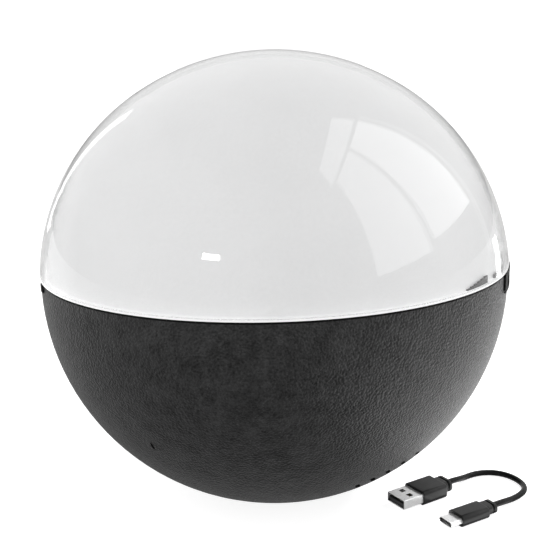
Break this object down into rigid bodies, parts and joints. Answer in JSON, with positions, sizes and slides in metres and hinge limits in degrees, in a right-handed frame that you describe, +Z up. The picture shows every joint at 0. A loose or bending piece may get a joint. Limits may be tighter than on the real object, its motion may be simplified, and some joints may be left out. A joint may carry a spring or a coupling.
{
  "type": "floating pool light",
  "caption": "Ball-shaped floating light with a clear dome over a white diffuser, a dark sealed base with flapped charging port and push button, and a short charging cable.",
  "frame": {"origin": "centre of the underside of the rubber foot ring, on the surface that the light stands on", "axes": "+Z up through the top of the clear dome, along the ball's axis; -Y faces the front, where the row of short slots lies low and to the right (+X); the charging cable lies on the same surface towards +X and -Y"},
  "size_m": [0.227, 0.2176, 0.2083],
  "materials": {
    "base_plastic": "dark grey, fine leather-like moulded grain, low sheen",
    "black_rubber": "matt black silicone",
    "clear_plastic": "clear glossy acrylic",
    "diffuser_plastic": "white translucent, matt",
    "white_plastic": "white moulded plastic",
    "screw_steel": "zinc plated steel",
    "led_board_white": "white solder mask on an aluminium board",
    "led_yellow": "yellow phosphor",
    "ballast_iron": "cast, coated dark grey",
    "chassis_plastic": "black moulded plastic",
    "cell_wrap": "shrink sleeve on a steel can",
    "nickel": "nickel strip",
    "board_green": "green solder mask",
    "chip_black": "black moulded package",
    "ferrite": "grey ferrite",
    "red_lead": "red silicone sleeve",
    "black_lead": "black sleeve",
    "red_silicone": "red-brown silicone seal",
    "plug_metal": "bright nickel-plated steel",
    "button_grey": "grey satin plastic",
    "spring_steel": "bright drawn wire",
    "flap_rubber": "dark firm rubber",
    "cable_black": "black soft-touch sleeve, low sheen",
    "plug_insulator": "black insulator",
    "contact_gold": "gold-plated contact"
  },
  "bodies": {
    "light": {"base_shell": "base_plastic", "foot_ring": "black_rubber", "rim_gasket": "black_rubber", "clear_dome": "clear_plastic", "diffuser_dome": "diffuser_plastic", "dome_keys": "base_plastic", "reflector_plate": "white_plastic", "reflector_screws": "screw_steel", "led_board": "led_board_white", "led_chips": "led_yellow", "led_board_screws": "screw_steel", "ballast_ring": "ballast_iron", "battery_cradle": "chassis_plastic", "chassis_screws": "screw_steel", "battery_cells": "cell_wrap", "battery_tabs": "nickel", "battery_strap": "chassis_plastic", "strap_screws": "screw_steel", "control_board": "board_green", "control_board_screws": "screw_steel", "controller_chips": "chip_black", "power_inductor": "ferrite", "lead_connectors": "white_plastic", "battery_leads": "red_lead", "led_leads": "red_lead", "port_leads": "black_lead", "service_cover": "chassis_plastic", "cover_seal": "red_silicone", "cover_screws": "screw_steel", "port_board": "board_green", "port_board_screws": "screw_steel", "usb_c_receptacle": "plug_metal", "charge_light_pipe": "clear_plastic", "tact_switch": "chip_black", "button_spring": "spring_steel", "flap_hinge_pin": "screw_steel"},
    "button": {"power_button": "button_grey", "button_seal": "red_silicone"},
    "flap": {"port_flap": "flap_rubber", "flap_seal": "red_silicone"},
    "charging_cable": {"cable_flex": "cable_black", "usb_a_overmould": "cable_black", "usb_a_shell": "plug_metal", "usb_a_tongue": "plug_insulator", "usb_a_contacts": "contact_gold", "usb_c_overmould": "cable_black", "usb_c_shell": "plug_metal", "usb_c_insert": "plug_insulator"}
  },
  "joints": [
    {"name": "button_press", "type": "slide", "parent": "light", "child": "button", "axis": [0, 0, 1], "range_m": [0, 0.0012], "stiffness_N_per_m": 300, "springref_m": -0.0005, "deforming": ["button_spring"]},
    {"name": "flap_hinge", "type": "hinge", "parent": "light", "child": "flap", "pos_m": [0, -0.0126, 0.0063], "axis": [-1, 0, 0], "range_deg": [0, 105]},
    {"name": "cable_away", "type": "slide", "parent": "light", "child": "charging_cable", "axis": [1, 0, 0], "range_m": [0, 0.15]}
  ]
}
